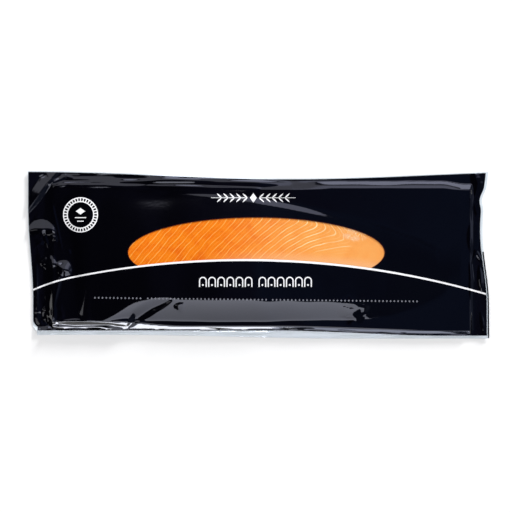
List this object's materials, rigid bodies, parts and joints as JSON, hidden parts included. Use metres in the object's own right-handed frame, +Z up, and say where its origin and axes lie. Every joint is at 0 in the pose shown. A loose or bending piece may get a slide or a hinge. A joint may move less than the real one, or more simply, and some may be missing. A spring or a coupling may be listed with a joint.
{
  "type": "vacuum pack of sliced smoked salmon",
  "caption": "Long flat vacuum pack: a sliced side of smoked salmon on a card, under glossy black printed film with a curved clear window.",
  "frame": {"origin": "on the table, under the middle of the pack", "axes": "+X along the pack from the head end of the fish to its tail, +Y towards the belly side, +Z up, out of the printed face"},
  "size_m": [0.62, 0.225, 0.0215],
  "materials": {
    "printed_film": "laminated pouch film, reverse printed solid black, high gloss, creased by the vacuum",
    "clear_film": "clear polyamide and polyethylene film with a faint cool tint, high gloss",
    "card": "coated board, pale, satin",
    "salmon": "moist smoked flesh, orange with paler fat lines, semi-gloss",
    "white_print": "white ink under gloss film"
  },
  "bodies": {
    "root": {"back_film": "clear_film", "card": "card", "front_film": "printed_film", "window_film": "clear_film", "salmon_side": "salmon"}
  },
  "joints": []
}
